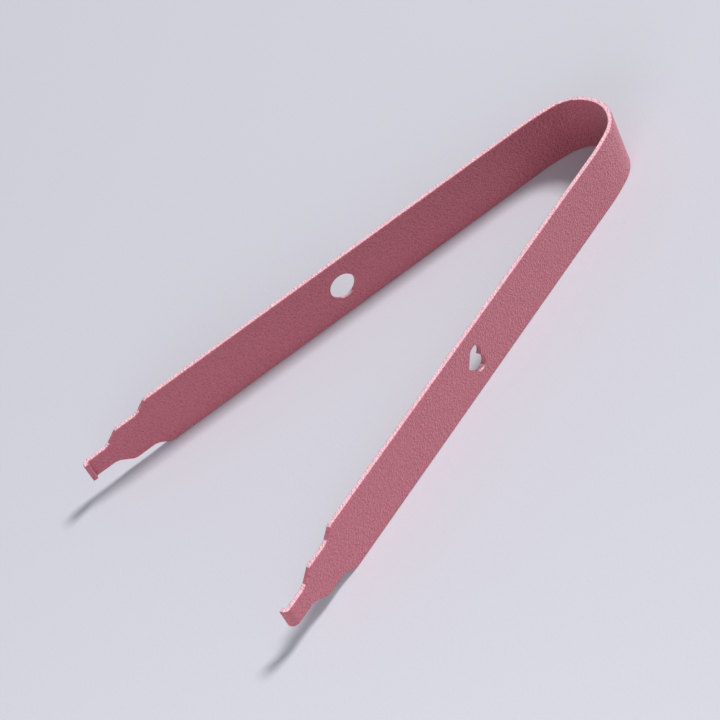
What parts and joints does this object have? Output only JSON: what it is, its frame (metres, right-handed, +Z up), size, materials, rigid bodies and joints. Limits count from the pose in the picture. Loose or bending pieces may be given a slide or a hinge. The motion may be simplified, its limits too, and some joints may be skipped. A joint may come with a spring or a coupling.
{
  "type": "keyboard switch puller",
  "caption": "Sprung steel puller for keyboard switches: a bent strip with stepped, narrowing arms that end in small inward jaws.",
  "frame": {"origin": "under the middle of the part's box, on the surface it lies on", "axes": "+X from the jaws to the bend, +Y from the arm with the heart to the arm with the round hole, +Z up across the strip's width"},
  "size_m": [0.109, 0.0584, 0.012],
  "materials": {
    "coated_steel": "fine-grained satin powder coat"
  },
  "bodies": {
    "root": {"puller": "coated_steel"}
  },
  "joints": []
}
